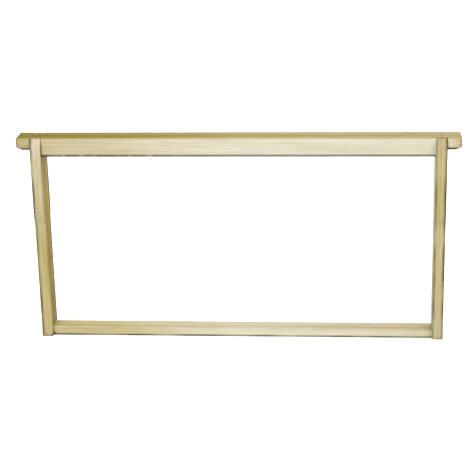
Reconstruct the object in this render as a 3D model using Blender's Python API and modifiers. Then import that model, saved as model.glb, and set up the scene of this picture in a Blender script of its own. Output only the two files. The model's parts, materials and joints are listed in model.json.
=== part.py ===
# Deep self-spacing frame of a Langstroth hive: a top bar with two lugs, two forked end bars,
# a bottom bar and the nails that hold them.
# World axes: +X along the top bar, +Y to the back, +Z up. The feet stand on Z = 0.

import math

import bmesh
import bpy

mm = 0.001

# Overall sizes
body_length = 452.0 * mm            # over the outer faces of the two end bars
lug_length = 15.3 * mm              # how far each lug reaches past its end bar
frame_height = 232.0 * mm

# Top bar
top_bar_width = 27.0 * mm
top_bar_thickness = 20.6 * mm
lug_thickness = 12.8 * mm
lug_tip_run = 6.5 * mm              # length of the sloped underside at each lug's tip
lug_tip_rise = 2.6 * mm
neck_width = 17.5 * mm              # what the two housings leave between the fork's tines
groove_width = 4.8 * mm             # takes the edge of the foundation sheet
groove_depth = 6.4 * mm

# End bars
end_bar_thickness = 12.0 * mm
shoulder_width = 35.0 * mm          # spaces this frame from its neighbours
shoulder_height = 87.0 * mm
ear_height = 8.0 * mm               # over this height the tines taper to the top bar's width
waist_width = 28.6 * mm             # below the shoulder, down to the foot
sweep_height = 13.0 * mm            # height in which the shoulder runs into the waist
sweep_steps = 12

# Bottom bar
bottom_bar_width = 20.0 * mm
bottom_bar_thickness = 10.0 * mm

# Wire holes through each end bar, spread over the height of the comb
wire_hole_diameter = 3.2 * mm
wire_hole_count = 4
wire_margin_top = 21.0 * mm         # top bar to the highest hole
wire_margin_bottom = 30.0 * mm      # bottom bar to the lowest hole

# Nails
shank_diameter = 1.6 * mm
head_diameter = 3.6 * mm
head_thickness = 0.8 * mm
point_length = 2.6 * mm
long_nail_length = 32.0 * mm
side_nail_length = 25.0 * mm
nail_set = 0.2 * mm                 # how far a head lies below the wood
top_nail_spacing = 9.0 * mm         # between the two nails of a pair
bottom_nail_spacing = 10.0 * mm
top_nail_offset = 1.6 * mm          # from the middle of an end bar towards the comb
side_nail_offset = 2.6 * mm         # from the middle of an end bar towards the lug

# Clearances and finish
joint_gap = 0.3 * mm                # all round each wooden joint
nail_gap = 0.3 * mm                 # all round each nail
edge_ease = 0.4 * mm                # flat taken off the sawn edges
cut_through = 5.0 * mm              # how far a cutter stands out of what it cuts
round_steps = 16

# Places worked out from the sizes
top_bar_end = body_length / 2 + lug_length
outer_face = body_length / 2
inner_face = outer_face - end_bar_thickness
top_bar_underside = frame_height - top_bar_thickness
lug_underside = frame_height - lug_thickness
slot_floor = top_bar_underside - joint_gap
notch_roof = bottom_bar_thickness + joint_gap
slot_width = neck_width + 2 * joint_gap
notch_width = bottom_bar_width + 2 * joint_gap
end_bar_middle = (outer_face + inner_face) / 2
sides = (("left", -1), ("right", 1))
ranks = (("front", -1), ("back", 1))


def clear_scene():
    for item in list(bpy.data.objects):
        bpy.data.objects.remove(item, do_unlink=True)


def make_collection(name):
    collection = bpy.data.collections.new(name)
    bpy.context.scene.collection.children.link(collection)
    return collection


def make_material(name, colour, roughness, metallic=0.0):
    material = bpy.data.materials.new(name)
    material.use_nodes = True
    shader = material.node_tree.nodes["Principled BSDF"]
    shader.inputs["Base Color"].default_value = (*colour, 1.0)
    shader.inputs["Roughness"].default_value = roughness
    shader.inputs["Metallic"].default_value = metallic
    return material


def add_object(name, mesh, collection, location=(0, 0, 0), rotation=(0, 0, 0)):
    item = bpy.data.objects.new(name, mesh)
    item.location = location
    item.rotation_euler = rotation
    collection.objects.link(item)
    return item


def mark_as_cutter(item):
    item.hide_render = True
    item.display_type = "WIRE"
    return item


def box_mesh(name, low, high):
    shape = bmesh.new()
    bmesh.ops.create_cube(shape, size=1.0)
    for vert in shape.verts:
        vert.co = [a + (b - a) * (c + 0.5) for a, b, c in zip(low, high, vert.co)]
    mesh = bpy.data.meshes.new(name)
    shape.to_mesh(mesh)
    shape.free()
    return mesh


def outline_solid(name, outline, thickness, rotation):
    """A flat outline in its own XY plane, made solid to both sides of it."""
    curve = bpy.data.curves.new(name + "_outline", "CURVE")
    curve.dimensions = "2D"
    curve.fill_mode = "BOTH"
    curve.extrude = thickness / 2
    spline = curve.splines.new("POLY")
    spline.points.add(len(outline) - 1)
    for point, (across, up) in zip(spline.points, outline):
        point.co = (across, up, 0.0, 1.0)
    spline.use_cyclic_u = True
    guide = add_object(name + "_outline", curve, parts, rotation=rotation)
    bpy.context.view_layer.update()
    seen = guide.evaluated_get(bpy.context.evaluated_depsgraph_get())
    mesh = bpy.data.meshes.new_from_object(seen)
    mesh.name = name
    shape = bmesh.new()
    shape.from_mesh(mesh)
    bmesh.ops.remove_doubles(shape, verts=shape.verts, dist=0.001 * mm)
    bmesh.ops.dissolve_limit(shape, angle_limit=math.radians(1),
                             verts=shape.verts, edges=shape.edges)
    shape.to_mesh(mesh)
    shape.free()
    solid = add_object(name, mesh, parts)
    solid.matrix_world = guide.matrix_world.copy()
    bpy.data.objects.remove(guide, do_unlink=True)
    return solid


def ease_edges(item):
    bevel = item.modifiers.new("eased_edges", "BEVEL")
    bevel.width = edge_ease
    bevel.segments = 1
    bevel.limit_method = "ANGLE"
    bevel.angle_limit = math.radians(30)


def cut(item, cutter):
    boolean = item.modifiers.new(cutter.name, "BOOLEAN")
    boolean.operation = "DIFFERENCE"
    boolean.solver = "EXACT"
    boolean.object = cutter


def box_cutter(name, low, high):
    return mark_as_cutter(add_object(name, box_mesh(name, low, high), cutters))


def drill_cutter(name, diameter, start, length):
    """A drill along X that starts at the point given."""
    shape = bmesh.new()
    bmesh.ops.create_cone(shape, cap_ends=True, segments=round_steps,
                          radius1=diameter / 2, radius2=diameter / 2, depth=length)
    mesh = bpy.data.meshes.new(name)
    shape.to_mesh(mesh)
    shape.free()
    middle = (start[0] + length / 2, start[1], start[2])
    return mark_as_cutter(add_object(name, mesh, cutters, middle, (0, math.radians(90), 0)))


def turned_nail(name, length, gap, head_rise, collection, location, rotation):
    """A nail, or with a gap the hole for one, turned about Z with its head at the origin."""
    head = head_diameter / 2 + gap
    shank = shank_diameter / 2 + gap
    point_gap = gap / math.sin(math.atan2(shank_diameter / 2, point_length))
    profile = (
        (0.0, head_rise),
        (head, head_rise),
        (head, -head_thickness - gap),
        (shank, -head_thickness - gap),
        (shank, point_length - length),
        (0.0, -length - point_gap),
    )
    mesh = bpy.data.meshes.new(name)
    steps = range(len(profile) - 1)
    mesh.from_pydata([(x, 0.0, z) for x, z in profile], [(i, i + 1) for i in steps], [])
    item = add_object(name, mesh, collection, location, rotation)
    screw = item.modifiers.new("turned", "SCREW")
    screw.steps = round_steps
    screw.render_steps = round_steps
    screw.use_merge_vertices = True
    screw.merge_threshold = 0.001 * mm
    return item


def nail_with_hole(name, length, location, rotation, woods):
    nail = turned_nail(name, length, 0.0, 0.0, parts, location, rotation)
    hole = turned_nail(name + "_hole", length, nail_gap, cut_through, cutters, location, rotation)
    mark_as_cutter(hole)
    for wood in woods:
        cut(wood, hole)
    nail.data.materials.append(steel)
    return nail


def end_bar_outline():
    """Ear, shoulder, sweep and waist of one edge, then the same on the other edge."""
    shoulder = shoulder_width / 2
    waist = waist_width / 2
    sweep_top = frame_height - shoulder_height
    edge = [(top_bar_width / 2, frame_height), (shoulder, frame_height - ear_height),
            (shoulder, sweep_top)]
    for step in range(1, sweep_steps + 1):
        share = step / sweep_steps
        inward = (1 - math.cos(math.pi * share)) / 2
        edge.append((shoulder + (waist - shoulder) * inward, sweep_top - sweep_height * share))
    edge.append((waist, 0.0))
    return edge + [(-across, up) for across, up in reversed(edge)]


def cut_lug(bar, side, sign):
    """Thin the bar outside its end bar, then slope the underside of the lug's tip."""
    along = sorted((sign * outer_face, sign * (top_bar_end + cut_through)))
    half_width = top_bar_width / 2 + cut_through
    cut(bar, box_cutter("lug_rebate_" + side,
                        (along[0], -half_width, top_bar_underside - cut_through),
                        (along[1], half_width, lug_underside)))
    along = sorted((-sign * lug_tip_run / 4, sign * (lug_tip_run + cut_through)))
    wedge = box_cutter("lug_slope_" + side, (along[0], -half_width, -lug_thickness),
                       (along[1], half_width, 0.0))
    wedge.location = (sign * (top_bar_end - lug_tip_run), 0.0, lug_underside)
    wedge.rotation_euler.y = -sign * math.atan2(lug_tip_rise, lug_tip_run)
    cut(bar, wedge)


def make_top_bar():
    """Full thickness between the end bars' outer faces, a thinner lug beyond each."""
    mesh = box_mesh("top_bar", (-top_bar_end, -top_bar_width / 2, top_bar_underside),
                    (top_bar_end, top_bar_width / 2, frame_height))
    bar = add_object("top_bar", mesh, parts)
    ease_edges(bar)
    for side, sign in sides:
        cut_lug(bar, side, sign)
        for rank, face in ranks:
            along = sorted((sign * (inner_face - joint_gap), sign * (outer_face + joint_gap)))
            across = sorted((face * neck_width / 2, face * (top_bar_width / 2 + cut_through)))
            cut(bar, box_cutter("housing_" + side + "_" + rank,
                                (along[0], across[0], top_bar_underside - cut_through),
                                (along[1], across[1], frame_height + cut_through)))
    cut(bar, box_cutter("foundation_groove",
                        (-inner_face, -groove_width / 2, top_bar_underside - cut_through),
                        (inner_face, groove_width / 2, top_bar_underside + groove_depth)))
    bar.data.materials.append(top_wood)
    return bar


def make_end_bar(side, sign):
    rotation = (math.radians(90), 0, math.radians(90))
    bar = outline_solid("end_bar_" + side, end_bar_outline(), end_bar_thickness, rotation)
    bar.location.x = sign * end_bar_middle
    ease_edges(bar)
    low = sign * end_bar_middle - end_bar_thickness / 2 - cut_through
    high = sign * end_bar_middle + end_bar_thickness / 2 + cut_through
    cut(bar, box_cutter("fork_slot_" + side, (low, -slot_width / 2, slot_floor),
                        (high, slot_width / 2, frame_height + cut_through)))
    cut(bar, box_cutter("foot_notch_" + side, (low, -notch_width / 2, -cut_through),
                        (high, notch_width / 2, notch_roof)))
    highest = top_bar_underside - wire_margin_top
    lowest = bottom_bar_thickness + wire_margin_bottom
    for index in range(wire_hole_count):
        height = highest + (lowest - highest) * index / (wire_hole_count - 1)
        cut(bar, drill_cutter("wire_hole_%s_%d" % (side, index + 1), wire_hole_diameter,
                              (low, 0.0, height), high - low))
    bar.data.materials.append(left_wood if side == "left" else right_wood)
    return bar


def make_bottom_bar():
    mesh = box_mesh("bottom_bar", (-outer_face, -bottom_bar_width / 2, 0.0),
                    (outer_face, bottom_bar_width / 2, bottom_bar_thickness))
    bar = add_object("bottom_bar", mesh, parts)
    ease_edges(bar)
    bar.data.materials.append(bottom_wood)
    return bar


def make_nails(top_bar, bottom_bar, end_bars):
    nails = []
    for side, sign in sides:
        end_bar = end_bars[side]
        top_place = sign * (end_bar_middle - top_nail_offset)
        for rank, face in ranks:
            nails.append(nail_with_hole(
                "top_nail_%s_%s" % (side, rank), long_nail_length,
                (top_place, face * top_nail_spacing / 2, frame_height - nail_set),
                (0, 0, 0), (top_bar, end_bar)))
            nails.append(nail_with_hole(
                "bottom_nail_%s_%s" % (side, rank), long_nail_length,
                (sign * end_bar_middle, face * bottom_nail_spacing / 2, nail_set),
                (math.radians(180), 0, 0), (bottom_bar, end_bar)))
        side_place = sign * (end_bar_middle + side_nail_offset)
        nails.append(nail_with_hole(
            "side_nail_" + side, side_nail_length,
            (side_place, shoulder_width / 2 - nail_set, (frame_height + top_bar_underside) / 2),
            (math.radians(-90), 0, 0), (top_bar, end_bar)))
    return nails


clear_scene()
parts = make_collection("hive_frame")
cutters = make_collection("cutters")

top_wood = make_material("top_bar_pine", (0.74, 0.64, 0.42), 0.6)
left_wood = make_material("left_end_bar_pine", (0.62, 0.52, 0.27), 0.62)
right_wood = make_material("right_end_bar_pine", (0.55, 0.45, 0.22), 0.62)
bottom_wood = make_material("bottom_bar_pine", (0.66, 0.57, 0.35), 0.6)
steel = make_material("nail_steel", (0.46, 0.46, 0.47), 0.38, 1.0)

top_piece = make_top_bar()
bottom_piece = make_bottom_bar()
end_pieces = {side: make_end_bar(side, sign) for side, sign in sides}
nail_pieces = make_nails(top_piece, bottom_piece, end_pieces)

root = bpy.data.objects.new("frame_root", None)
parts.objects.link(root)
for piece in [top_piece, bottom_piece, *end_pieces.values(), *nail_pieces]:
    piece.parent = root
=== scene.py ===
# Deep frame of a Langstroth hive in bare new pine: two planed bars, two forked end bars, ten wire nails.
# Axes as in the CAD: +X along the top bar, +Y to the back, +Z up. Lengths in settings are millimetres.
import json
import math

import bmesh
import bpy
from mathutils import Matrix, Vector, noise


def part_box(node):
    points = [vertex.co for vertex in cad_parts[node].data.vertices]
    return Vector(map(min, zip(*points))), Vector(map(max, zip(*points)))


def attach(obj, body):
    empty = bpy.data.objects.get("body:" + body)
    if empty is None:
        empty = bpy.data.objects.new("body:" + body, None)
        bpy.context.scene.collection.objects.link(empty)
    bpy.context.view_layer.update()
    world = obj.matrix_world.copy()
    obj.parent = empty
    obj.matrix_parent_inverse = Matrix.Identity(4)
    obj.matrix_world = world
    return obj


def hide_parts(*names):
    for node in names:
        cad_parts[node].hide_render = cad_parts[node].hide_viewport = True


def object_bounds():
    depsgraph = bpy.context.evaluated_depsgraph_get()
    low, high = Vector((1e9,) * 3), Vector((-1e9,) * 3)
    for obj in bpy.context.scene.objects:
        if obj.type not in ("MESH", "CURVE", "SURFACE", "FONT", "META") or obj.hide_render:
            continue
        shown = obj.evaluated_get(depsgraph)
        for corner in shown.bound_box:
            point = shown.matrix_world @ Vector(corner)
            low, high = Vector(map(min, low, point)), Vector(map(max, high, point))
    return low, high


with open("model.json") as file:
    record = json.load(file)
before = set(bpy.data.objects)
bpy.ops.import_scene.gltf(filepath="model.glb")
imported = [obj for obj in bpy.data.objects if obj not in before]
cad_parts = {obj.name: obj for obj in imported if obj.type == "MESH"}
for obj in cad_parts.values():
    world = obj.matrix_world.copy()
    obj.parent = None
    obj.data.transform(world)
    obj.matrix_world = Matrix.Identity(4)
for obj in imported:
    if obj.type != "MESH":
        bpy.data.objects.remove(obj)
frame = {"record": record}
cadLow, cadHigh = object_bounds()
mm = 0.001
scene = bpy.context.scene
mountPlace = {mount["name"]: Vector(mount["pos_m"]) for mount in frame["record"]["mounts"]}


def addNode(tree, kind, settings=None, inputs=None):
    # a node, its own settings, and its inputs: a socket or a node's first output is linked,
    # anything else is a fixed value, and a list links several to one input
    node = tree.nodes.new(kind)
    for key, value in (settings or {}).items():
        if key == "stops":
            ramp = node.color_ramp
            ramp.elements.remove(ramp.elements[1])
            ramp.elements[0].position, ramp.elements[0].color = value[0]
            for place, colour in value[1:]:
                ramp.elements.new(place).color = colour
        else:
            setattr(node, key, value)
    for key, value in (inputs or {}).items():
        for one in value if isinstance(value, list) else [value]:
            if isinstance(one, bpy.types.Node):
                one = one.outputs[0]
            if isinstance(one, bpy.types.NodeSocket):
                tree.links.new(one, node.inputs[key])
            else:
                node.inputs[key].default_value = one
    return node


def tint(code):
    # an sRGB hex colour as linear red, green, blue and alpha
    parts = [int(code[i:i + 2], 16) / 255 for i in (1, 3, 5)]
    return tuple(p / 12.92 if p <= 0.04045 else ((p + 0.055) / 1.055) ** 2.4 for p in parts) + (1.0,)


def newMaterial(name):
    material = bpy.data.materials.new(name)
    material.use_nodes = True
    material.node_tree.nodes.clear()
    return material, material.node_tree


def perMetre(size):
    # how often a pattern of this many millimetres comes in a metre
    return 1000.0 / size


smooth = {"interpolation_type": "SMOOTHSTEP"}
blended = {"data_type": "RGBA"}
multiplied = {"data_type": "RGBA", "blend_type": "MULTIPLY"}
waveRate = 2 * math.pi / 20       # a wave texture's scale for one wave in a metre

# Noise drawn out along the grain: its size along and across it in millimetres, its detail and its start.
# Between two levels of the noise the wood goes from the low tint to the high one, as shares of its mean.
grainPatterns = {
    "border": {"long": 90, "wide": 5, "detail": 3.0, "start": 3.1},       # of the heartwood
    "brown": {"long": 170, "wide": 3.4, "detail": 2.0, "start": 6.6, "from": 0.52, "to": 0.66,
              "low": (1.04, 1.05, 1.08, 1.0), "high": (0.80, 0.73, 0.58, 1.0)},
    "drift": {"long": 150, "wide": 14, "detail": 1.0, "start": 5.7, "from": 0.36, "to": 0.64,
              "low": (0.93, 0.92, 0.86, 1.0), "high": (1.06, 1.07, 1.12, 1.0)},
    "stripe": {"long": 110, "wide": 2.6, "detail": 2.0, "start": 9.2, "from": 0.40, "to": 0.62,
               "low": (0.90, 0.88, 0.82, 1.0), "high": (1.05, 1.06, 1.08, 1.0)},
    "fibre": {"long": 26, "wide": 0.8, "detail": 4.0, "start": 1.3, "from": 0.3, "to": 0.7,
              "low": (0.78, 0.75, 0.66, 1.0), "high": (1.18, 1.20, 1.26, 1.0)},
    "canal": {"long": 7, "wide": 0.55, "detail": 1.0, "start": 7.7, "from": 0.67, "to": 0.74},
}
pineLook = {
    "earlyUntil": 0.45, "lateSoftAt": 0.82, "lateAt": 0.94, "softShare": 0.4,      # places in a growth ring
    # edgeShadeTint: the colour of the painted shade along the arrises
    "ringStretch": 0.05, "canalTint": "#8f7040", "edgeShadeTint": "#2c2203",
    "pore": 0.9, "poreFrom": 0.35, "poreTo": 0.6, "sawnDark": "#cdb88e", "sawnLight": "#f6ecd4",
    "sawnShare": 0.8, "sawnRougher": 0.22,
    "ringRelief": 0.35, "fibreRelief": 0.5, "rippleRelief": 0.18, "poreRelief": 1.6, "bumpStrength": 0.55,
    "fibreRougher": 0.08, "fibreSmoother": 0.05, "ior": 1.5, "specular": 0.18,
}


def makePine(name, look):
    # Planed softwood: pale earlywood between thin gold latewood lines that run the length of the board,
    # fine fibre streaks, a satin face, and open, darker, matt pores where the saw went across the grain.
    material, tree = newMaterial(name)
    grain = look["grain"]
    place = addNode(tree, "ShaderNodeTexCoord").outputs["Object"]
    parts = addNode(tree, "ShaderNodeSeparateXYZ", None, {0: place}).outputs
    axes = {"X": parts[0], "Y": parts[1], "Z": parts[2]}

    def streaks(pattern):
        scale = Vector([perMetre(pattern["long" if axis == grain else "wide"]) for axis in "XYZ"])
        start = pattern["start"]
        drawn = addNode(tree, "ShaderNodeMapping", None,
                        {"Vector": place, "Location": (start, 2 * start, 3 * start), "Scale": scale})
        return addNode(tree, "ShaderNodeTexNoise", None,
                       {"Vector": drawn, "Scale": 1.0, "Detail": pattern["detail"]})

    def gathered(pattern, most=1.0):
        # the streaks gathered into lines, 0 between them
        return addNode(tree, "ShaderNodeMapRange", smooth,
                       {"Value": streaks(pattern), "From Min": pattern["from"], "From Max": pattern["to"],
                        "To Max": most})

    def rungs(latewood):
        # one growth ring: clear earlywood, then a thin darker line of latewood
        clear, late = tint("#ffffff"), tint(latewood)
        share = pineLook["softShare"]
        soft = tuple(1 - share + share * part for part in late)
        return addNode(tree, "ShaderNodeValToRGB", {"stops": [
            (0.0, clear), (pineLook["earlyUntil"], clear), (pineLook["lateSoftAt"], soft),
            (pineLook["lateAt"], late), (1.0, clear)]}, {"Fac": rings})

    def graded(axis, stops):
        # a tone that changes with the place along one axis, its stops in millimetres
        first, last = stops[0][0], stops[-1][0]
        share = addNode(tree, "ShaderNodeMapRange", None,
                        {"Value": axes[axis], "From Min": first * mm, "From Max": last * mm})
        return addNode(tree, "ShaderNodeValToRGB", {"stops": [
            ((at - first) / (last - first), tint(code)) for at, code in stops]}, {"Fac": share})

    def swung(colour, patternName):
        # the wood made a little darker or lighter along a pattern; returns the pattern too
        pattern = grainPatterns[patternName]
        level = gathered(pattern)
        tone = addNode(tree, "ShaderNodeMix", blended, {0: level, 6: pattern["low"], 7: pattern["high"]})
        wood = addNode(tree, "ShaderNodeMix", multiplied,
                       {0: look[patternName + "Share"], 6: colour, 7: tone.outputs[2]})
        return wood.outputs[2], level

    # growth rings about a pith that lies outside the board, leaning a little across its length
    along = Vector([1.0 if axis == grain else 0.0 for axis in "XYZ"])
    pull = Vector([pineLook["ringStretch"] if axis == grain else 1.0 for axis in "XYZ"])
    ringSpace = addNode(tree, "ShaderNodeMapping", None,
                        {"Vector": place, "Location": Vector(look["pith"]) * -mm,
                         "Rotation": Vector(look["lean"]) * math.radians(1), "Scale": pull})
    rings = addNode(tree, "ShaderNodeTexWave",
                    {"wave_type": "RINGS", "rings_direction": grain, "wave_profile": "SAW"},
                    {"Vector": ringSpace, "Scale": waveRate / (look["ringWidth"] * mm),
                     "Distortion": look["ringWander"], "Detail": 2.0,
                     "Detail Scale": look["ringWidth"] / look["wanderWidth"]}).outputs[1]

    # pale sapwood, and on the heart side of the board a more golden wood, with a ragged border; where that
    # side is the top of the top bar or an end bar's face that looks to +X, its darker tone is partly
    # heartwood and partly painted shade on that face
    woods = [addNode(tree, "ShaderNodeMix", multiplied,
                     {0: 1.0, 6: graded(grain, look[tone]), 7: rungs(look[late])}).outputs[2]
             for tone, late in (("sapwood", "latewood"), ("heartwood", "heartLatewood"))]
    woods[1] = swung(woods[1], "brown")[0]
    depth = addNode(tree, "ShaderNodeVectorMath", {"operation": "DOT_PRODUCT"},
                    {0: place, 1: look["heartSide"]}).outputs["Value"]
    rag = look["heartRag"] * mm
    ragged = addNode(tree, "ShaderNodeMath", {"operation": "MULTIPLY_ADD"},
                     {0: streaks(grainPatterns["border"]), 1: rag, 2: depth})
    inHeart = addNode(tree, "ShaderNodeMapRange", smooth,
                      {"Value": ragged, "From Min": look["heartFrom"] * mm + rag / 2,
                       "From Max": look["heartTo"] * mm + rag / 2})
    colour = addNode(tree, "ShaderNodeMix", blended, {0: inHeart, 6: woods[0], 7: woods[1]}).outputs[2]
    # a tone across the board in stripes of lighter and darker wood; towards the back edge of the top bar and
    # of an end bar's inner face it darkens, painted shade along that edge
    bands = graded(look["bandAxis"], look["bands"])
    colour = addNode(tree, "ShaderNodeMix", multiplied, {0: 1.0, 6: colour, 7: bands}).outputs[2]

    # broad drifts of tone along the board, then stripes, then single fibres
    for patternName in ("drift", "stripe", "fibre"):
        colour, fibre = swung(colour, patternName)
    # resin canals: brown dashes a few millimetres long
    canal = gathered(grainPatterns["canal"], look["canalShare"])
    colour = addNode(tree, "ShaderNodeMix", multiplied,
                     {0: canal, 6: colour, 7: tint(pineLook["canalTint"])}).outputs[2]

    # across the grain a shade darker, with open pores
    across = addNode(tree, "ShaderNodeAttribute", {"attribute_name": "endGrain"}).outputs["Fac"]
    pores = addNode(tree, "ShaderNodeTexNoise", None,
                    {"Vector": place, "Scale": perMetre(pineLook["pore"]), "Detail": 3.0})
    poreShare = addNode(tree, "ShaderNodeMapRange", smooth,
                        {"Value": pores, "From Min": pineLook["poreFrom"], "From Max": pineLook["poreTo"]})
    sawn = addNode(tree, "ShaderNodeMix", blended,
                   {0: poreShare, 6: tint(pineLook["sawnDark"]), 7: tint(pineLook["sawnLight"])}).outputs[2]
    sawnShare = addNode(tree, "ShaderNodeMath", {"operation": "MULTIPLY"},
                        {0: across, 1: pineLook["sawnShare"]})
    colour = addNode(tree, "ShaderNodeMix", multiplied, {0: sawnShare, 6: colour, 7: sawn}).outputs[2]
    # painted shade on the arrises, the shade along the edges of each board, and in the top bar's torn stretch
    # real torn fibres as well; less so on end grain
    arris = addNode(tree, "ShaderNodeAttribute", {"attribute_name": "arris"}).outputs["Fac"]
    spared = addNode(tree, "ShaderNodeMath", {"operation": "SUBTRACT"}, {0: 1.0, 1: sawnShare})
    edgeShadeShare = addNode(tree, "ShaderNodeMath", {"operation": "MULTIPLY"}, {0: arris, 1: spared})
    colour = addNode(tree, "ShaderNodeMix", blended,
                     {0: edgeShadeShare, 6: colour, 7: tint(pineLook["edgeShadeTint"])}).outputs[2]

    # latewood stands a hair proud, fibres are felt, and the planer leaves faint ripples across the board
    ripple = addNode(tree, "ShaderNodeTexWave", {"wave_type": "BANDS", "bands_direction": grain},
                     {"Vector": place, "Scale": waveRate / (look["knifeMark"] * mm),
                      "Distortion": 1.5, "Detail": 1.0, "Detail Scale": 0.2}).outputs[1]
    openPores = addNode(tree, "ShaderNodeMath", {"operation": "MULTIPLY"}, {0: pores, 1: across})
    height = 0.0
    for pattern, relief in ((rings, "ringRelief"), (fibre, "fibreRelief"), (ripple, "rippleRelief"),
                            (openPores, "poreRelief")):
        height = addNode(tree, "ShaderNodeMath", {"operation": "MULTIPLY_ADD"},
                         {0: pattern, 1: pineLook[relief], 2: height})
    bump = addNode(tree, "ShaderNodeBump", None,
                   {"Strength": pineLook["bumpStrength"], "Distance": look["relief"] * mm, "Height": height})
    rough = addNode(tree, "ShaderNodeMapRange", smooth,
                    {"Value": fibre, "To Min": look["roughness"] + pineLook["fibreRougher"],
                     "To Max": look["roughness"] - pineLook["fibreSmoother"]})
    rough = addNode(tree, "ShaderNodeMath", {"operation": "MULTIPLY_ADD"},
                    {0: across, 1: pineLook["sawnRougher"], 2: rough})
    shader = addNode(tree, "ShaderNodeBsdfPrincipled", None,
                     {"Base Color": colour, "Roughness": rough, "IOR": pineLook["ior"],
                      "Specular IOR Level": pineLook["specular"], "Normal": bump})
    addNode(tree, "ShaderNodeOutputMaterial", None, {"Surface": shader})
    material["grain"] = list(along)
    return material


def makeSteel(name, look):
    # Drawn steel wire with a struck head: grey metal, dull with drawing soap, die lines along the shank.
    material, tree = newMaterial(name)
    place = addNode(tree, "ShaderNodeTexCoord").outputs["Object"]
    mottle = addNode(tree, "ShaderNodeTexNoise", None,
                     {"Vector": place, "Scale": perMetre(look["mottle"]), "Detail": 4.0})
    fine, drawn = perMetre(look["dieLine"]), perMetre(look["dieLineLong"])
    dies = addNode(tree, "ShaderNodeMapping", None, {"Vector": place, "Scale": (fine, fine, drawn)})
    lines = addNode(tree, "ShaderNodeTexNoise", None, {"Vector": dies, "Scale": 1.0, "Detail": 2.0})
    colour = addNode(tree, "ShaderNodeValToRGB", {"stops": [
        (0.3, tint(look["dull"])), (0.6, tint(look["bright"]))]}, {"Fac": mottle})
    rough = addNode(tree, "ShaderNodeMapRange", None,
                    {"Value": mottle, "To Min": look["dullRoughness"], "To Max": look["brightRoughness"]})
    bump = addNode(tree, "ShaderNodeBump", None,
                   {"Strength": 0.4, "Distance": look["dieDepth"] * mm, "Height": lines})
    shader = addNode(tree, "ShaderNodeBsdfPrincipled", None,
                     {"Base Color": colour, "Metallic": 1.0, "Roughness": rough, "Normal": bump})
    addNode(tree, "ShaderNodeOutputMaterial", None, {"Surface": shader})
    return material


def newObject(name, data):
    item = bpy.data.objects.new(name, data)
    scene.collection.objects.link(item)
    return item


def settle(item):
    # the evaluated shape as a plain mesh, with no modifier left
    bpy.context.view_layer.update()
    seen = item.evaluated_get(bpy.context.evaluated_depsgraph_get())
    mesh = bpy.data.meshes.new_from_object(seen)
    mesh.name = item.name
    item.modifiers.clear()
    item.data = mesh
    return item


def share01(value, start, full):
    # how far a value is from its start to its full mark, held between 0 and 1
    return min(1.0, max(0.0, (value - start) / (full - start)))


def paintBoard(item, material, edgeShadeAt):
    # how far each face looks along the grain, how much painted shade each arris takes, and sharp corners kept
    # crisp
    mesh = item.data
    along = Vector(material["grain"])
    endGrain = mesh.attributes.new("endGrain", "FLOAT", "FACE")
    for face in mesh.polygons:
        facing = abs(face.normal.dot(along))
        endGrain.data[face.index].value = share01(facing, 0.45, 0.85)      # wholly end grain by then
        face.use_smooth = True
    arris = mesh.attributes.new("arris", "FLOAT", "POINT")
    for vertex in mesh.vertices:
        arris.data[vertex.index].value = share01(edgeShadeAt(vertex.co), 0.0, 1.0)
    mesh.set_sharp_from_angle(angle=math.radians(34))
    mesh.materials.clear()
    mesh.materials.append(material)
    return item


def closeTo(spot, corner, reach):
    # 1 on an arris and its rounding, fading over the last 60% of its reach in millimetres to 0;
    # both places are across the arris
    away = math.hypot(spot[0] - corner[0], spot[1] - corner[1])
    return share01(-away, -reach * mm, -reach * mm * 0.4)


def patchy(place, size, seed):
    # uneven strength along an arris of the painted edge shade and of the planer's tear, about 1
    return 1 + 0.9 * noise.noise(Vector((place / (size * mm), seed, 0.0)))


def roundedSection(x, halfWidth, low, high, ease, cells):
    # the places round one slice of a board across X, its four arrises rounded
    across, upward, arc = cells
    corners = ((-1, -1), (1, -1), (1, 1), (-1, 1))
    ring = []
    for index, (sideY, sideZ) in enumerate(corners):
        middle = Vector((x, sideY * (halfWidth - ease), (high if sideZ > 0 else low) - sideZ * ease))
        start = math.radians(180 + 90 * index)
        for step in range(arc + 1):
            angle = start + math.radians(90) * step / arc
            ring.append(middle + Vector((0, math.cos(angle), math.sin(angle))) * ease)
        after = corners[(index + 1) % 4]
        count = across if sideZ == after[1] else upward
        angle = start + math.radians(90)
        first = ring[-1]
        nextHeight = (high if after[1] > 0 else low) - after[1] * ease
        lastMiddle = Vector((x, after[0] * (halfWidth - ease), nextHeight))
        last = lastMiddle + Vector((0, math.cos(angle), math.sin(angle))) * ease
        for step in range(1, count):
            ring.append(first.lerp(last, step / count))
    return ring


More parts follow.
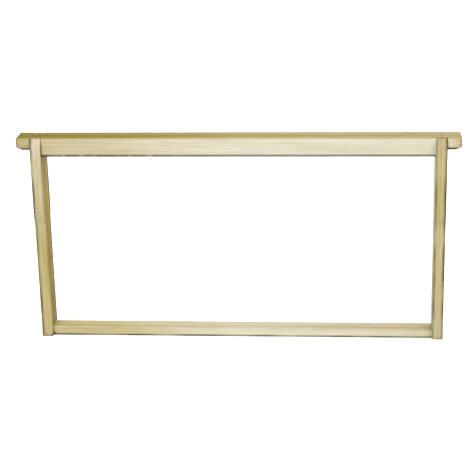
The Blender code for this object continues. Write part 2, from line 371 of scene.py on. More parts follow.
def loftBoard(name, stations, halfWidth, board):
    # a board along X built slice by slice; its faces waver by hundredths of a millimetre
    # and the rounding of its arrises comes and goes
    shape = bmesh.new()
    rings = []
    for x, low, high, inset in stations:
        wander = noise.noise(Vector((x / (14 * mm), board["seed"], 0.0)))
        ease = board["ease"] * mm * (1 + 0.35 * wander)
        ease = max(0.15 * mm, ease - inset * 0.5)
        ring = roundedSection(x, halfWidth - inset, low + inset, high - inset, ease, board["cells"])
        middle = Vector((x, 0.0, (low + high) / 2))
        for spot in ring:
            inward = middle - spot
            inward.x = 0.0
            inward.normalize()
            place = Vector((spot.x / (38 * mm), spot.y / (9 * mm), spot.z / (9 * mm) + board["seed"]))
            dent = board["waver"] * mm * (0.5 + 0.5 * noise.noise(place))
            spot += inward * dent
        rings.append([shape.verts.new(spot) for spot in ring])
    count = len(rings[0])
    for before, after in zip(rings, rings[1:]):
        for i in range(count):
            j = (i + 1) % count
            shape.faces.new((before[i], before[j], after[j], after[i]))
    shape.faces.new(rings[0])
    shape.faces.new(reversed(rings[-1]))
    bmesh.ops.remove_doubles(shape, verts=shape.verts, dist=0.0005 * mm)
    bmesh.ops.recalc_face_normals(shape, faces=shape.faces)
    mesh = bpy.data.meshes.new(name)
    shape.to_mesh(mesh)
    shape.free()
    return newObject(name, mesh)


def easedEnd(end, low, high, ease):
    # the last stations of a board, rounded into its end face
    stations = []
    for step in range(1, 4):
        turn = math.radians(90) * step / 3
        stations.append((end - ease + ease * math.sin(turn), low, high, ease * (1 - math.cos(turn)) * 0.8))
    return stations


def cutterFrom(name, boxes):
    # boxes between opposite corners, as one mesh
    shape = bmesh.new()
    for one, other in boxes:
        for corner in bmesh.ops.create_cube(shape, size=1.0)["verts"]:
            corner.co = Vector([min(a, b) + abs(b - a) * (c + 0.5) for a, b, c in zip(one, other, corner.co)])
    mesh = bpy.data.meshes.new(name)
    shape.to_mesh(mesh)
    shape.free()
    return newObject(name, mesh)


def cutAway(item, cutter):
    boolean = item.modifiers.new(cutter.name, "BOOLEAN")
    boolean.operation = "DIFFERENCE"
    boolean.solver = "EXACT"
    boolean.object = cutter


def treeFor(name, inputs):
    # an empty Geometry Nodes tree with a geometry in and out and named inputs
    tree = bpy.data.node_groups.new(name, "GeometryNodeTree")
    tree.interface.new_socket("Geometry", in_out="INPUT", socket_type="NodeSocketGeometry")
    for label, kind in inputs:
        tree.interface.new_socket(label, in_out="INPUT", socket_type="NodeSocket" + kind)
    tree.interface.new_socket("Geometry", in_out="OUTPUT", socket_type="NodeSocketGeometry")
    return tree, addNode(tree, "NodeGroupInput").outputs


def runTree(item, tree, values):
    modifier = item.modifiers.new(tree.name, "NODES")
    modifier.node_group = tree
    for entry in tree.interface.items_tree:
        if entry.in_out == "INPUT" and entry.name in values:
            modifier[entry.identifier] = values[entry.name]
    return modifier


nailLook = {
    "headWide": 3.6, "headThick": 0.8, "shankWide": 1.6, "pointLong": 2.6, "ringStep": 0.25,
    "longLength": 32.0, "sideLength": 25.0, "dome": 0.18, "steps": 20,
    "holeEase": 0.12,       # all round a nail, in the wood
    "holeRise": 2.0,        # how far a hole's cutter stands out of the wood
    "gripStep": 1.0, "gripDeep": 0.03,
}
steel = makeSteel("drawn steel wire", {
    "mottle": 1.1, "dull": "#6d6b66", "bright": "#99978f", "dullRoughness": 0.72, "brightRoughness": 0.5,
    "dieLine": 0.12, "dieLineLong": 9, "dieDepth": 0.04,
})


def makeNailTree():
    # a nail turned from rings of points down its length, set at every point and turned to its facing
    tree, given = treeFor("wire nail", [
        ("Head Width", "Float"), ("Head Thickness", "Float"), ("Shank Width", "Float"), ("Length", "Float"),
        ("Point Length", "Float"), ("Ring Step", "Float"), ("Steps Round", "Int"), ("Dome", "Float"),
        ("Material", "Material")])
    worked = {entry.name: entry for entry in given if entry.name}
    worked["index"] = addNode(tree, "GeometryNodeInputIndex").outputs[0]

    # each line is a result, the sum that gives it, and its terms; the head swells from its struck face
    # to its rim, the shank has gripping rings under the head, and the tip tapers
    for result, operation, *terms in (
            ("steps", "DIVIDE", "Length", "Ring Step"), ("steps", "FLOOR", "steps"),
            ("rows", "ADD", "steps", 1.0),
            ("share", "DIVIDE", "index", "steps"), ("down", "MULTIPLY", "share", "Length"),
            ("height", "MULTIPLY", "down", -1.0), ("left", "SUBTRACT", "Length", "down"),
            ("headHalf", "MULTIPLY", "Head Width", 0.5), ("shankHalf", "MULTIPLY", "Shank Width", 0.5),
            ("crownRun", "MULTIPLY", "Head Thickness", 0.4), ("crown", "DIVIDE", "down", "crownRun"),
            ("crown", "MINIMUM", "crown", 1.0), ("crownSquared", "MULTIPLY", "crown", "crown"),
            ("easing", "MULTIPLY_ADD", "crown", -2.0, 3.0), ("swell", "MULTIPLY", "crownSquared", "easing"),
            ("faceShare", "SUBTRACT", 1.0, "Dome"),
            ("rimShare", "MULTIPLY_ADD", "swell", "Dome", "faceShare"),
            ("headRadius", "MULTIPLY", "headHalf", "rimShare"),
            ("turns", "MULTIPLY", "down", 2 * math.pi / (nailLook["gripStep"] * mm)),
            ("wave", "SINE", "turns"),
            ("grip", "MULTIPLY_ADD", "wave", nailLook["gripDeep"] * mm, "shankHalf"),
            ("gripThin", "MULTIPLY_ADD", "Dome", -0.1, 1.0), ("grip", "MULTIPLY", "grip", "gripThin"),
            ("gripRun", "MULTIPLY", "Head Thickness", 9.0), ("inGrip", "LESS_THAN", "down", "gripRun"),
            ("change", "SUBTRACT", "grip", "shankHalf"),
            ("radius", "MULTIPLY_ADD", "change", "inGrip", "shankHalf"),
            ("tipShare", "DIVIDE", "left", "Point Length"), ("tipShare", "ADD", "tipShare", 0.02),
            ("tipRadius", "MULTIPLY", "shankHalf", "tipShare"),
            ("inTip", "LESS_THAN", "left", "Point Length"),
            ("change", "SUBTRACT", "tipRadius", "radius"),
            ("radius", "MULTIPLY_ADD", "change", "inTip", "radius"),
            ("inHead", "LESS_THAN", "down", "Head Thickness"), ("change", "SUBTRACT", "headRadius", "radius"),
            ("radius", "MULTIPLY_ADD", "change", "inHead", "radius")):
        worked[result] = addNode(tree, "ShaderNodeMath", {"operation": operation},
                                 {i: worked.get(term, term) for i, term in enumerate(terms)}).outputs[0]

    spine = addNode(tree, "GeometryNodeMeshLine", {"mode": "OFFSET"},
                    {"Count": worked["rows"], "Offset": (0.0, 0.0, 1.0)})
    spot = addNode(tree, "ShaderNodeCombineXYZ", None, {"Z": worked["height"]})
    spine = addNode(tree, "GeometryNodeSetPosition", None, {"Geometry": spine, "Position": spot})
    curve = addNode(tree, "GeometryNodeMeshToCurve", None, {"Mesh": spine})
    curve = addNode(tree, "GeometryNodeSetCurveRadius", None, {"Curve": curve, "Radius": worked["radius"]})
    hoop = addNode(tree, "GeometryNodeCurvePrimitiveCircle", {"mode": "RADIUS"},
                   {"Resolution": given["Steps Round"], "Radius": 1.0})
    skin = addNode(tree, "GeometryNodeCurveToMesh", None,
                   {"Curve": curve, "Profile Curve": hoop, "Fill Caps": True})
    if "Scale" in skin.inputs:
        tree.links.new(addNode(tree, "GeometryNodeInputRadius").outputs[0], skin.inputs["Scale"])
    facing = addNode(tree, "GeometryNodeInputNamedAttribute", {"data_type": "FLOAT_VECTOR"},
                     {"Name": "facing"})
    turn = addNode(tree, "FunctionNodeAlignRotationToVector", {"axis": "Z"}, {"Vector": facing})
    planted = addNode(tree, "GeometryNodeInstanceOnPoints", None,
                      {"Points": given["Geometry"], "Instance": skin, "Rotation": turn})
    solid = addNode(tree, "GeometryNodeRealizeInstances", None, {"Geometry": planted})
    solid = addNode(tree, "GeometryNodeSetMaterial", None, {"Geometry": solid, "Material": given["Material"]})
    addNode(tree, "NodeGroupOutput", None, {"Geometry": solid})
    return tree


nailTree = makeNailTree()


def nailSpots(names):
    # where each nail's head lies and which way it faces, from the CAD solid's box
    spots = []
    for name in names:
        low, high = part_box(name)
        middle = (low + high) / 2
        if name.startswith("side"):
            spots.append((Vector((middle.x, high.y, middle.z)), Vector((0, 1, 0))))
        elif name.startswith("top"):
            spots.append((Vector((middle.x, middle.y, high.z)), Vector((0, 0, 1))))
        else:
            spots.append((Vector((middle.x, middle.y, low.z)), Vector((0, 0, -1))))
    return spots


def growNails(name, spots, length, dome, room=0.0, stand=0.0):
    # nails, or with some room and stand the cutters of their holes
    mesh = bpy.data.meshes.new(name)
    mesh.from_pydata([spot + facing * stand for spot, facing in spots], [], [])
    facings = mesh.attributes.new("facing", "FLOAT_VECTOR", "POINT")
    for index, (spot, facing) in enumerate(spots):
        facings.data[index].vector = facing
    item = newObject(name, mesh)
    runTree(item, nailTree, {
        "Head Width": (nailLook["headWide"] + 2 * room) * mm,
        "Head Thickness": (nailLook["headThick"] + room) * mm + stand,
        "Shank Width": (nailLook["shankWide"] + 2 * room) * mm,
        "Length": (length + room * 3) * mm + stand, "Point Length": nailLook["pointLong"] * mm,
        "Ring Step": nailLook["ringStep"] * mm, "Steps Round": nailLook["steps"], "Dome": dome,
        "Material": steel})
    return settle(item)


ends = ["left", "right"]
longNames = ["%s_nail_%s_%s" % (row, side, rank)
             for row in ("top", "bottom") for side in ends for rank in ("front", "back")]
sideNames = ["side_nail_" + side for side in ends]
longSpots, sideSpots = nailSpots(longNames), nailSpots(sideNames)
dome, room, rise = nailLook["dome"], nailLook["holeEase"], nailLook["holeRise"] * mm
longNails = growNails("longWireNails", longSpots, nailLook["longLength"], dome)
sideNails = growNails("sideWireNails", sideSpots, nailLook["sideLength"], dome)
longHoles = growNails("longNailHoles", longSpots, nailLook["longLength"], 0.0, room, rise)
sideHoles = growNails("sideNailHoles", sideSpots, nailLook["sideLength"], 0.0, room, rise)
for piece, names in ((longNails, longNames), (sideNails, sideNames)):
    for face in piece.data.polygons:
        face.use_smooth = True
    piece.data.set_sharp_from_angle(angle=math.radians(40))
    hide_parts(*names)
    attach(piece, "root")
print("nails: %d long, %d at the side" % (len(longNames), len(sideNames)))


topLook = {
    "tipRun": 6.5, "tipRise": 2.6, "neckWide": 17.5, "jointGap": 0.15,
    "grooveWide": 4.8, "grooveDeep": 6.4, "cutPast": 3.0,
    "ease": 0.7, "waver": 0.06, "seed": 1.7, "step": 2.4, "cells": (16, 16, 3),
    # painted shade on the arrises: reaches in millimetres and strengths, and where the planer tore the lower
    # front one
    "frontReach": 3.4, "frontShade": 0.86, "tornDarker": 0.14, "lugShade": {"left": 0.8, "right": 1.0},
    "tornFrom": -20, "tornFully": -140, "tearSize": 7, "tearSeed": 4.2, "tearLevel": 0.92, "tearDepth": 2.0,
    "backReach": 2.6, "backTopShade": 0.5, "backFootShade": 0.4, "backPatch": 30, "backSeed": 1.1,
    "tipReach": 2.0, "tipShade": 0.6, "tipPatch": 6, "tipSeed": 2.7,
}
topPine = makePine("planed pine, top bar", {
    "grain": "X", "pith": (0, 46, 150), "lean": (0, 1.5, -2.0),
    "ringWidth": 2.6, "ringWander": 9.0, "wanderWidth": 14.0,
    "sapwood": [(-241, "#a99c6c"), (-205, "#b9ae8a"), (-100, "#c6bea4"), (0, "#cbc5b1"), (110, "#cdc8b6"),
                (215, "#c8c1aa"), (230, "#c3bba0"), (241, "#b1a273")],
    "heartwood": [(-241, "#a89a43"), (-140, "#b7aa4a"), (0, "#cdc07d"), (90, "#beb063"), (241, "#b3a44e")],
    "latewood": "#f5f0e2", "heartLatewood": "#e2d4ac",
    # the top face takes the heart tone: partly heartwood, partly painted shade on the top
    "heartSide": (0, 0, 1), "heartFrom": 231.2, "heartTo": 232.0, "heartRag": 0.5,
    "bandAxis": "Y",
    # across the bar from front to back; the darkening over the last few millimetres at the back is painted
    # shade
    "bands": [(-13.5, "#ffffff"), (-12.4, "#fbfaf4"), (-9.5, "#f2ecd8"), (-6, "#e6dcbc"), (-3, "#d8cba2"),
              (1.5, "#d8cba2"), (4, "#eee4c4"), (6.2, "#fffef4"), (8.2, "#f0e5c4"), (10, "#c2b188"),
              (13.5, "#a8976c")],
    "brownShare": 0.35, "driftShare": 0.7, "stripeShare": 0.3, "fibreShare": 0.3, "canalShare": 0.3,
    "knifeMark": 3.2, "relief": 0.12, "roughness": 0.6,
})


def makeTopBar():
    low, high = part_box("top_bar")
    inner, outer = (corner.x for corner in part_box("end_bar_right"))
    end, underside, top = high.x, low.z, high.z
    lugUnderside = mountPlace["lug_rest_right"].z
    run, rise, ease = topLook["tipRun"] * mm, topLook["tipRise"] * mm, topLook["ease"] * mm
    # half the stations, from the middle to the right lug's end, as x, underside, top and inset
    count = round(outer / (topLook["step"] * mm))
    half = [(outer * i / count, underside, top, 0.0) for i in range(count + 1)]
    half += [(outer, lugUnderside, top, 0.0)]
    half += [(outer + (end - run - outer) * i / 4, lugUnderside, top, 0.0) for i in range(1, 5)]
    slant = [(run - ease) * i / 3 for i in range(1, 4)]
    half += [(end - run + past, lugUnderside + rise * past / run, top, 0.0) for past in slant]
    half += easedEnd(end, lugUnderside + rise, top, ease)
    stations = [(-x, lo, hi, inset) for x, lo, hi, inset in reversed(half[1:])] + half
    bar = loftBoard("topBarWood", stations, (high.y - low.y) / 2, topLook)
    neck, gap = topLook["neckWide"] / 2 * mm, topLook["jointGap"] * mm
    past = topLook["cutPast"] * mm
    boxes = []
    for sign in (-1, 1):
        for face in (-1, 1):
            boxes.append(((sign * (inner - gap), face * neck, underside - past),
                          (sign * (outer + gap), face * (high.y + past), top + past)))
    groove, grooveRoof = topLook["grooveWide"] / 2 * mm, underside + topLook["grooveDeep"] * mm
    boxes.append(((-inner, -groove, underside - past), (inner, groove, grooveRoof)))
    housings = cutterFrom("housings and groove", boxes)
    for cutter in (housings, longHoles, sideHoles):
        cutAway(bar, cutter)
    settle(bar)
    bpy.data.objects.remove(housings, do_unlink=True)

    def edgeShadeAt(spot):
        # painted shade: the lower front arris, along the lugs too, nearly black, ragged where the planer tore
        # it, the others faintly darkened
        foot = lugUnderside if abs(spot.x) > outer else underside
        torn = share01(-spot.x, -topLook["tornFrom"] * mm, -topLook["tornFully"] * mm)
        tear = min(0.0, patchy(spot.x, topLook["tearSize"], topLook["tearSeed"]) - topLook["tearLevel"])
        edgeShadeStrength = topLook["frontShade"] + torn * (topLook["tornDarker"] + topLook["tearDepth"] * tear)
        if abs(spot.x) > inner:
            edgeShadeStrength = topLook["lugShade"]["right" if spot.x > 0 else "left"]
        front = closeTo((spot.y, spot.z), (low.y, foot), topLook["frontReach"]) * edgeShadeStrength
        back = max(closeTo((spot.y, spot.z), (high.y, top), topLook["backReach"]) * topLook["backTopShade"],
                   closeTo((spot.y, spot.z), (high.y, foot), topLook["backReach"]) * topLook["backFootShade"])
        tip = max(0.0, 1 - (end - abs(spot.x)) / (topLook["tipReach"] * mm)) * topLook["tipShade"]
        return max(front, back * patchy(spot.x, topLook["backPatch"], topLook["backSeed"]),
                   tip * patchy(spot.z, topLook["tipPatch"], topLook["tipSeed"]))

    paintBoard(bar, topPine, edgeShadeAt)
    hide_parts("top_bar")
    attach(bar, "root")
    return bar


topBar = makeTopBar()
print("top bar: %d faces" % len(topBar.data.polygons))


bottomLook = {
    "ease": 0.6, "waver": 0.06, "seed": 6.3, "step": 2.6, "cells": (14, 8, 3),
    # painted shade on the arrises: reaches in millimetres and strengths, in patches
    "underReach": 2.6, "underShade": 0.85, "underPatch": 34, "underSeed": 3.3,
    "backReach": 2.4, "backShade": {"left": 0.15, "right": 0.3}, "backPatch": 20, "backSeed": 5.2,
    "frontReach": 2.0, "frontTopShade": 0.14, "backFootShade": 0.4,
    "jointShadowReach": 4.5, "jointShadowPast": 0.5,       # a painted shadow where the bar leaves the left foot
}
bottomPine = makePine("planed pine, bottom bar", {
    "grain": "X", "pith": (0, -62, -48), "lean": (0, -2.0, 1.0),
    "ringWidth": 2.2, "ringWander": 8.0, "wanderWidth": 12.0,
    "sapwood": [(-226, "#b3a778"), (-110, "#beb38b"), (-60, "#c8c0a4"), (0, "#cec7ae"), (180, "#c8c2a7"),
                (226, "#bdb48e")],
    "heartwood": [(-226, "#d5cd9f"), (-150, "#d4cda6"), (0, "#ded5c5"), (180, "#c6bb98"), (226, "#baae82")],
    "latewood": "#f0e9d4", "heartLatewood": "#e6dab8",
    "heartSide": (0, 0, 1), "heartFrom": 9.2, "heartTo": 10.0, "heartRag": 0.5,
    "bandAxis": "Y",
    "bands": [(-10, "#ffffff"), (-9.2, "#fdfbf4"), (-7, "#eee6cf"), (-4, "#efe7d2"), (2, "#fffdf6"),
              (7, "#fbf6e8"), (10, "#efe8d4")],
    "brownShare": 0.2, "driftShare": 0.9, "stripeShare": 0.5, "fibreShare": 0.35, "canalShare": 0.3,
    "knifeMark": 3.0, "relief": 0.12, "roughness": 0.6,
})


def makeBottomBar():
    low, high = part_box("bottom_bar")
    ease = bottomLook["ease"] * mm
    count = round((high.x - ease) / (bottomLook["step"] * mm))
    half = [((high.x - ease) * i / count, low.z, high.z, 0.0) for i in range(count + 1)]
    half += easedEnd(high.x, low.z, high.z, ease)
    stations = [(-x, lo, hi, inset) for x, lo, hi, inset in reversed(half[1:])] + half
    bar = loftBoard("bottomBarWood", stations, (high.y - low.y) / 2, bottomLook)
    cutAway(bar, longHoles)
    settle(bar)
    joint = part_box("end_bar_left")[1].x + bottomLook["jointShadowPast"] * mm

    def edgeShadeAt(spot):
        # painted shade along the under, back and front arrises, and a painted shadow at the joint with the
        # left end bar
        across = (spot.y, spot.z)
        under = closeTo(across, (low.y, low.z), bottomLook["underReach"]) * bottomLook["underShade"]
        back = closeTo(across, (high.y, high.z), bottomLook["backReach"])
        back *= bottomLook["backShade"]["right" if spot.x > 0 else "left"]
        frontTop = closeTo(across, (low.y, high.z), bottomLook["frontReach"]) * bottomLook["frontTopShade"]
        return max(under * patchy(spot.x, bottomLook["underPatch"], bottomLook["underSeed"]),
                   max(back, frontTop) * patchy(spot.x, bottomLook["backPatch"], bottomLook["backSeed"]),
                   closeTo(across, (high.y, low.z), bottomLook["frontReach"]) * bottomLook["backFootShade"],
                   closeTo((spot.x, spot.z), (joint, low.z), bottomLook["jointShadowReach"]))

    paintBoard(bar, bottomPine, edgeShadeAt)
    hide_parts("bottom_bar")
    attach(bar, "root")
    return bar


bottomBar = makeBottomBar()
print("bottom bar: %d faces" % len(bottomBar.data.polygons))


endLook = {
    "waistWide": 28.6, "shoulderHigh": 87.0, "sweepHigh": 13.0, "earHigh": 8.0,
    "slotWide": 18.1, "slotFloor": 211.1, "notchWide": 20.6, "notchRoof": 10.3,
    "holeWide": 3.2, "holeCount": 4, "highestHole": 190.4, "lowestHole": 40.0,
    "ease": 0.7, "unevenness": 0.1, "rows": 150, "columns": 22, "layers": 7,
    "drillPast": 10.0, "cutPast": 4.0,       # how far the cutters reach out of the wood
    # painted shade on the arrises: reaches in millimetres and strengths, in patches
    "innerFrontShade": {"left": 0.0, "right": 0.55}, "outerFrontShade": {"left": 0.75, "right": 1.0},
    "fainterBelow": {"left": 0, "right": 70}, "fainterShare": 0.65,
    "innerBackShade": 0.95, "outerBackShade": 0.65, "reach": 2.9, "innerBackReach": {"left": 7.5, "right": 3.6},
    "innerFade": 6.0, "innerFadeShade": 0.6, "footReach": 2.6, "footShade": 0.75, "jointShadowReach": 4.0,
    "patch": 26, "footPatch": 7, "footSeed": 2.2,
}
endPine = {
    "grain": "Z", "ringWander": 8.0, "latewood": "#ece3c8", "heartLatewood": "#dac99a",
    "heartSide": (1, 0, 0), "heartRag": 0.6, "driftShare": 0.9, "stripeShare": 0.6, "fibreShare": 0.4,
    "canalShare": 0.5, "knifeMark": 2.8, "relief": 0.14, "roughness": 0.66,
}
leftPine = makePine("sawn pine, left end bar", {
    **endPine, "pith": (38, -52, 0), "lean": (2.5, -1.5, 0), "ringWidth": 2.4, "wanderWidth": 12.0,
    "sapwood": [(0, "#b2a575"), (100, "#b3a573"), (150, "#c1b692"), (200, "#c4ba9a"), (232, "#cfc6b1")],
    "heartwood": [(0, "#948433"), (120, "#968431"), (160, "#9e8d37"), (195, "#948434"), (211, "#87782e"),
                  (232, "#918437")],
    # the inner face, which looks to +X, takes the dark heart tone, darkest just under the top bar: partly
    # heartwood, partly painted shade
    "heartFrom": -215.0, "heartTo": -213.8, "brownShare": 0.7, "bandAxis": "Y",
    "bands": [(-17.5, "#ffffff"), (-14.0, "#ffffff"), (-10.5, "#f6eccc"), (-6, "#e6d7a0"), (1, "#e2d196"),
              (5, "#fff6d8"), (9, "#fff4d4"), (12, "#fff8e0"), (14, "#f2e6c4"), (17.5, "#e8dcbe")],
})
rightPine = makePine("sawn pine, right end bar", {
    **endPine, "pith": (-45, 60, 0), "lean": (-2.0, 2.0, 0), "ringWidth": 3.1, "wanderWidth": 14.0,
    "sapwood": [(0, "#c9c2a6"), (110, "#cac3a8"), (150, "#c3ba93"), (190, "#c9bf9c"), (232, "#c4bba2")],
    "heartwood": [(0, "#b3a673"), (110, "#b5a877"), (150, "#a99b66"), (232, "#ada06d")],
    # the outer face, which looks to +X, takes the heart tone: partly heartwood, partly painted shade
    "heartFrom": 225.0, "heartTo": 226.2, "brownShare": 0.5, "bandAxis": "X",
    "bands": [(214, "#fffaec"), (216, "#fffdf4"), (219, "#eee6cc"), (221.5, "#f1e9d0"), (223.4, "#fffcf2"),
              (225, "#f8f2dd"), (226, "#efe7cc")],
})


def makeBlankTree():
    # a board whose width follows the rule: in to the top bar at the ears, full at the shoulder,
    # an S down to the waist, narrow to the foot
    tree, given = treeFor("end bar blank", [
        ("Thickness", "Float"), ("Height", "Float"), ("Shoulder Width", "Float"), ("Waist Width", "Float"),
        ("Sweep Top", "Float"), ("Sweep Height", "Float"), ("Ear Width", "Float"), ("Ear Height", "Float"),
        ("Middle", "Float"), ("Layers", "Int"), ("Columns", "Int"), ("Rows", "Int")])
    size = addNode(tree, "ShaderNodeCombineXYZ", None,
                   {"X": given["Thickness"], "Y": 1.0, "Z": given["Height"]})
    board = addNode(tree, "GeometryNodeMeshCube", None,
                    {"Size": size, "Vertices X": given["Layers"], "Vertices Y": given["Columns"],
                     "Vertices Z": given["Rows"]})
    place = addNode(tree, "GeometryNodeInputPosition")
    parts = addNode(tree, "ShaderNodeSeparateXYZ", None, {0: place}).outputs
    height = addNode(tree, "ShaderNodeMath", {"operation": "MULTIPLY_ADD"},
                     {0: given["Height"], 1: 0.5, 2: parts["Z"]})
    sweepFoot = addNode(tree, "ShaderNodeMath", {"operation": "SUBTRACT"},
                        {0: given["Sweep Top"], 1: given["Sweep Height"]})
    sweep = addNode(tree, "ShaderNodeMapRange", smooth,
                    {"Value": height, "From Min": sweepFoot, "From Max": given["Sweep Top"],
                     "To Min": given["Waist Width"], "To Max": given["Shoulder Width"]})
    earFoot = addNode(tree, "ShaderNodeMath", {"operation": "SUBTRACT"},
                      {0: given["Height"], 1: given["Ear Height"]})
    ear = addNode(tree, "ShaderNodeMapRange", None,
                  {"Value": height, "From Min": earFoot, "From Max": given["Height"],
                   "To Min": given["Shoulder Width"], "To Max": given["Ear Width"]})
    width = addNode(tree, "ShaderNodeMath", {"operation": "MINIMUM"}, {0: sweep, 1: ear})
    across = addNode(tree, "ShaderNodeMath", {"operation": "MULTIPLY"}, {0: parts["Y"], 1: width})
    along = addNode(tree, "ShaderNodeMath", {"operation": "ADD"}, {0: parts["X"], 1: given["Middle"]})
    spot = addNode(tree, "ShaderNodeCombineXYZ", None, {"X": along, "Y": across, "Z": height})
    shaped = addNode(tree, "GeometryNodeSetPosition", None, {"Geometry": board, "Position": spot})
    addNode(tree, "NodeGroupOutput", None, {"Geometry": shaped})
    return tree


def makeCutTree():
    # the planed blank wavers a little, then takes its fork slot, foot notch and row of wire holes
    tree, given = treeFor("end bar cuts", [
        ("Middle", "Float"), ("Thickness", "Float"), ("Unevenness", "Float"),
        ("Slot Width", "Float"), ("Slot Floor", "Float"), ("Slot Top", "Float"),
        ("Notch Width", "Float"), ("Notch Roof", "Float"),
        ("Hole Width", "Float"), ("Hole Count", "Int"), ("Highest Hole", "Float"), ("Lowest Hole", "Float"),
        ("Material", "Material")])
    worked = {entry.name: entry for entry in given if entry.name}
    place = addNode(tree, "GeometryNodeInputPosition")
    drawn = addNode(tree, "ShaderNodeVectorMath", {"operation": "MULTIPLY"},
                    {0: place, 1: (perMetre(8), perMetre(8), perMetre(34))})
    wave = addNode(tree, "ShaderNodeTexNoise", None, {"Vector": drawn, "Scale": 1.0, "Detail": 2.0})
    worked["wave"] = wave.outputs[0]
    cutPast = endLook["cutPast"] * mm
    for result, operation, *terms in (
            ("inward", "MULTIPLY", "wave", "Unevenness"), ("inward", "MULTIPLY", "inward", -1.0),
            ("through", "ADD", "Thickness", endLook["drillPast"] * mm),
            ("drillHalf", "MULTIPLY", "Hole Width", 0.5),
            ("slotEnd", "ADD", "Slot Top", cutPast), ("slotHigh", "SUBTRACT", "slotEnd", "Slot Floor"),
            ("slotMiddle", "MULTIPLY_ADD", "slotHigh", 0.5, "Slot Floor"),
            ("notchHigh", "ADD", "Notch Roof", cutPast),
            ("notchMiddle", "MULTIPLY_ADD", "notchHigh", -0.5, "Notch Roof")):
        worked[result] = addNode(tree, "ShaderNodeMath", {"operation": operation},
                                 {i: worked.get(term, term) for i, term in enumerate(terms)}).outputs[0]
    facing = addNode(tree, "GeometryNodeInputNormal")
    push = addNode(tree, "ShaderNodeVectorMath", {"operation": "SCALE"},
                   {0: facing, "Scale": worked["inward"]})
    board = addNode(tree, "GeometryNodeSetPosition", None, {"Geometry": given["Geometry"], "Offset": push})

    cutters = []
    for part in ("slot", "notch"):
        wide = given[part.capitalize() + " Width"]
        size = addNode(tree, "ShaderNodeCombineXYZ", None,
                       {"X": worked["through"], "Y": wide, "Z": worked[part + "High"]})
        at = addNode(tree, "ShaderNodeCombineXYZ", None, {"X": given["Middle"], "Z": worked[part + "Middle"]})
        box = addNode(tree, "GeometryNodeMeshCube", None, {"Size": size})
        cutters.append(addNode(tree, "GeometryNodeTransform", None, {"Geometry": box, "Translation": at}))
    first, last = [addNode(tree, "ShaderNodeCombineXYZ", None, {"X": given["Middle"], "Z": given[hole]})
                   for hole in ("Highest Hole", "Lowest Hole")]
    row = addNode(tree, "GeometryNodeMeshLine", {"mode": "END_POINTS"},
                  {"Count": given["Hole Count"], "Start Location": first, "Offset": last})
    drill = addNode(tree, "GeometryNodeMeshCylinder", None,
                    {"Vertices": 24, "Radius": worked["drillHalf"], "Depth": worked["through"]})
    holes = addNode(tree, "GeometryNodeInstanceOnPoints", None,
                    {"Points": row, "Instance": drill, "Rotation": (0.0, math.radians(90), 0.0)})
    cutters.append(addNode(tree, "GeometryNodeRealizeInstances", None, {"Geometry": holes}))
    cut = addNode(tree, "GeometryNodeMeshBoolean", {"operation": "DIFFERENCE", "solver": "EXACT"},
                  {"Mesh 1": board, "Mesh 2": cutters})
    whole = addNode(tree, "GeometryNodeRealizeInstances", None, {"Geometry": cut})
    whole = addNode(tree, "GeometryNodeSetMaterial", None, {"Geometry": whole, "Material": given["Material"]})
    addNode(tree, "NodeGroupOutput", None, {"Geometry": whole})
    return tree


blankTree, cutTree = makeBlankTree(), makeCutTree()


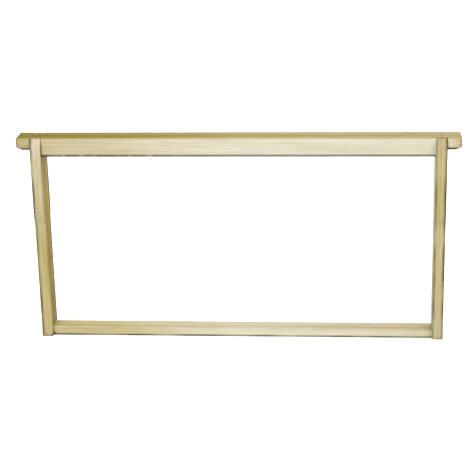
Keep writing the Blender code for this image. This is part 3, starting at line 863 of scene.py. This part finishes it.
def makeEndBar(side, pine):
    low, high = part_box("end_bar_" + side)
    bar = newObject(side + "EndBarWood", bpy.data.meshes.new(side + "EndBarWood"))
    topLow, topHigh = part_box("top_bar")
    middle, thickness = (low.x + high.x) / 2, high.x - low.x
    shoulder, waist, earHalf = high.y - low.y, endLook["waistWide"] * mm, (topHigh.y - topLow.y) / 2
    sweepTop = high.z - endLook["shoulderHigh"] * mm
    sweepFoot = sweepTop - endLook["sweepHigh"] * mm
    runTree(bar, blankTree, {
        "Thickness": thickness, "Height": high.z - low.z, "Shoulder Width": shoulder, "Waist Width": waist,
        "Sweep Top": sweepTop, "Sweep Height": endLook["sweepHigh"] * mm, "Ear Width": earHalf * 2,
        "Ear Height": endLook["earHigh"] * mm, "Middle": middle,
        "Layers": endLook["layers"], "Columns": endLook["columns"], "Rows": endLook["rows"]})
    bevel = bar.modifiers.new("eased arrises", "BEVEL")
    bevel.width = endLook["ease"] * mm
    bevel.segments = 3
    bevel.limit_method = "ANGLE"
    bevel.angle_limit = math.radians(50)
    runTree(bar, cutTree, {
        "Middle": middle, "Thickness": thickness, "Unevenness": endLook["unevenness"] * mm,
        "Slot Width": endLook["slotWide"] * mm, "Slot Floor": endLook["slotFloor"] * mm, "Slot Top": high.z,
        "Notch Width": endLook["notchWide"] * mm, "Notch Roof": endLook["notchRoof"] * mm,
        "Hole Width": endLook["holeWide"] * mm, "Hole Count": endLook["holeCount"],
        "Highest Hole": endLook["highestHole"] * mm, "Lowest Hole": endLook["lowestHole"] * mm,
        "Material": pine})
    for cutter in (longHoles, sideHoles):
        cutAway(bar, cutter)
    settle(bar)

    def edgeShadeAt(spot):
        # painted shade on every long arris, the outer front one of the right bar darkest, and on the foot and
        # the back of each inner face
        share = share01(spot.z, sweepFoot, sweepTop)
        half = (waist + (shoulder - waist) * share * share * (3 - 2 * share)) / 2
        half = min(half, earHalf + (shoulder / 2 - earHalf) * (high.z - spot.z) / (endLook["earHigh"] * mm))
        outward, front = (spot.x - middle) * middle > 0, spot.y < 0
        reach = endLook["reach"] if outward or front else endLook["innerBackReach"][side]
        near = closeTo((abs(spot.x - middle), abs(spot.y)), (thickness / 2, half), reach)
        if front:
            edgeShadeStrength = endLook["outerFrontShade" if outward else "innerFrontShade"][side]
            if outward and spot.z <= endLook["fainterBelow"][side] * mm:
                edgeShadeStrength *= endLook["fainterShare"]
        else:
            edgeShadeStrength = endLook["outerBackShade" if outward else "innerBackShade"]
        foot = max(0.0, 1 - (spot.z - low.z) / (endLook["footReach"] * mm)) * endLook["footShade"]
        if not outward and abs(spot.x - middle) > thickness / 2 - 1 * mm:      # the inner face, darker to the back: painted shade
            fade = max(0.0, 1 - (half - spot.y) / (endLook["innerFade"] * mm))
            foot = max(foot, endLook["innerFadeShade"] * fade)
            if front and side == "left":                                       # a painted shadow at the bottom bar
                foot = max(foot, closeTo((spot.y, spot.z), (-half, low.z), endLook["jointShadowReach"]))
        return max(near * edgeShadeStrength * patchy(spot.z, endLook["patch"], middle * 90),
                   foot * patchy(spot.x + spot.y, endLook["footPatch"], endLook["footSeed"]))

    paintBoard(bar, pine, edgeShadeAt)
    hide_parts("end_bar_" + side)
    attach(bar, "root")
    return bar


for side, pine in (("left", leftPine), ("right", rightPine)):
    endBar = makeEndBar(side, pine)
    print("%s end bar: %d faces" % (side, len(endBar.data.polygons)))
for spent in (longHoles, sideHoles):
    bpy.data.objects.remove(spent, do_unlink=True)


studio = {
    "floorWide": 14.0, "floorTint": "#f4f4f2", "floorGlow": 0.5, "aroundStrength": 0.55,
    "keyPlace": (-1.35, -2.75, 1.35), "keySize": (1.8, 1.4), "keyPower": 72.0,
    "fillPlace": (2.3, -2.0, 0.9), "fillSize": (1.6, 1.6), "fillPower": 40.0,
    "backPlace": (0.9, 2.6, 0.8), "backSize": (2.0, 1.6), "backPower": 60.0,
}
lens = {
    "place": (0.120, -1.525, 0.637), "down": 18.81, "left": 4.62, "roll": -1.28,
    "focal": 110.7, "sensor": 36.0,
}


def makeFloor():
    shape = bmesh.new()
    bmesh.ops.create_grid(shape, x_segments=8, y_segments=8, size=studio["floorWide"] / 2)
    bmesh.ops.translate(shape, verts=shape.verts, vec=(0, 0, cadLow.z - 0.2 * mm))
    mesh = bpy.data.meshes.new("paperFloor")
    shape.to_mesh(mesh)
    shape.free()
    floor = newObject("paperFloor", mesh)
    material, tree = newMaterial("white backdrop paper")
    shader = addNode(tree, "ShaderNodeBsdfPrincipled", None,
                     {"Base Color": tint(studio["floorTint"]), "Roughness": 0.9, "Specular IOR Level": 0.1,
                      "Emission Color": tint("#ffffff"), "Emission Strength": studio["floorGlow"]})
    addNode(tree, "ShaderNodeOutputMaterial", None, {"Surface": shader.outputs[0]})
    mesh.materials.append(material)
    floor.visible_diffuse = False      # the frame is lit by the lamps, not by the paper


def addSoftbox(name):
    light = bpy.data.lights.new(name + " softbox", "AREA")
    light.shape = "RECTANGLE"
    light.size, light.size_y = studio[name + "Size"]
    light.energy = studio[name + "Power"]
    box = newObject(light.name, light)
    place = studio[name + "Place"]
    aim = Vector((0, 0, (cadLow.z + cadHigh.z) / 2)) - Vector(place)
    box.matrix_world = Matrix.Translation(place) @ aim.to_track_quat("-Z", "Y").to_matrix().to_4x4()


makeFloor()
for lampName in ("key", "fill", "back"):
    addSoftbox(lampName)

world = bpy.data.worlds.new("white room")
scene.world = world
world.use_nodes = True
world.node_tree.nodes.clear()
# soft light all round, and plain white where the camera sees past the paper
seen = addNode(world.node_tree, "ShaderNodeLightPath").outputs["Is Camera Ray"]
strength = addNode(world.node_tree, "ShaderNodeMapRange", None,
                   {"Value": seen, "To Min": studio["aroundStrength"], "To Max": 1.0})
glow = addNode(world.node_tree, "ShaderNodeBackground", None,
               {"Color": tint("#ffffff"), "Strength": strength.outputs[0]})
addNode(world.node_tree, "ShaderNodeOutputWorld", None, {"Surface": glow.outputs[0]})
scene.view_settings.view_transform = "Standard"

cameraData = bpy.data.cameras.new("camera")
cameraData.lens = lens["focal"]
cameraData.sensor_width = lens["sensor"]
cameraData.clip_end = 50.0
camera = newObject("camera", cameraData)
camera.matrix_world = (Matrix.Translation(lens["place"]) @ Matrix.Rotation(math.radians(lens["left"]), 4, "Z")
                       @ Matrix.Rotation(math.radians(90 - lens["down"]), 4, "X")
                       @ Matrix.Rotation(math.radians(lens["roll"]), 4, "Z"))
scene.camera = camera
print("floor, lights and camera are set")
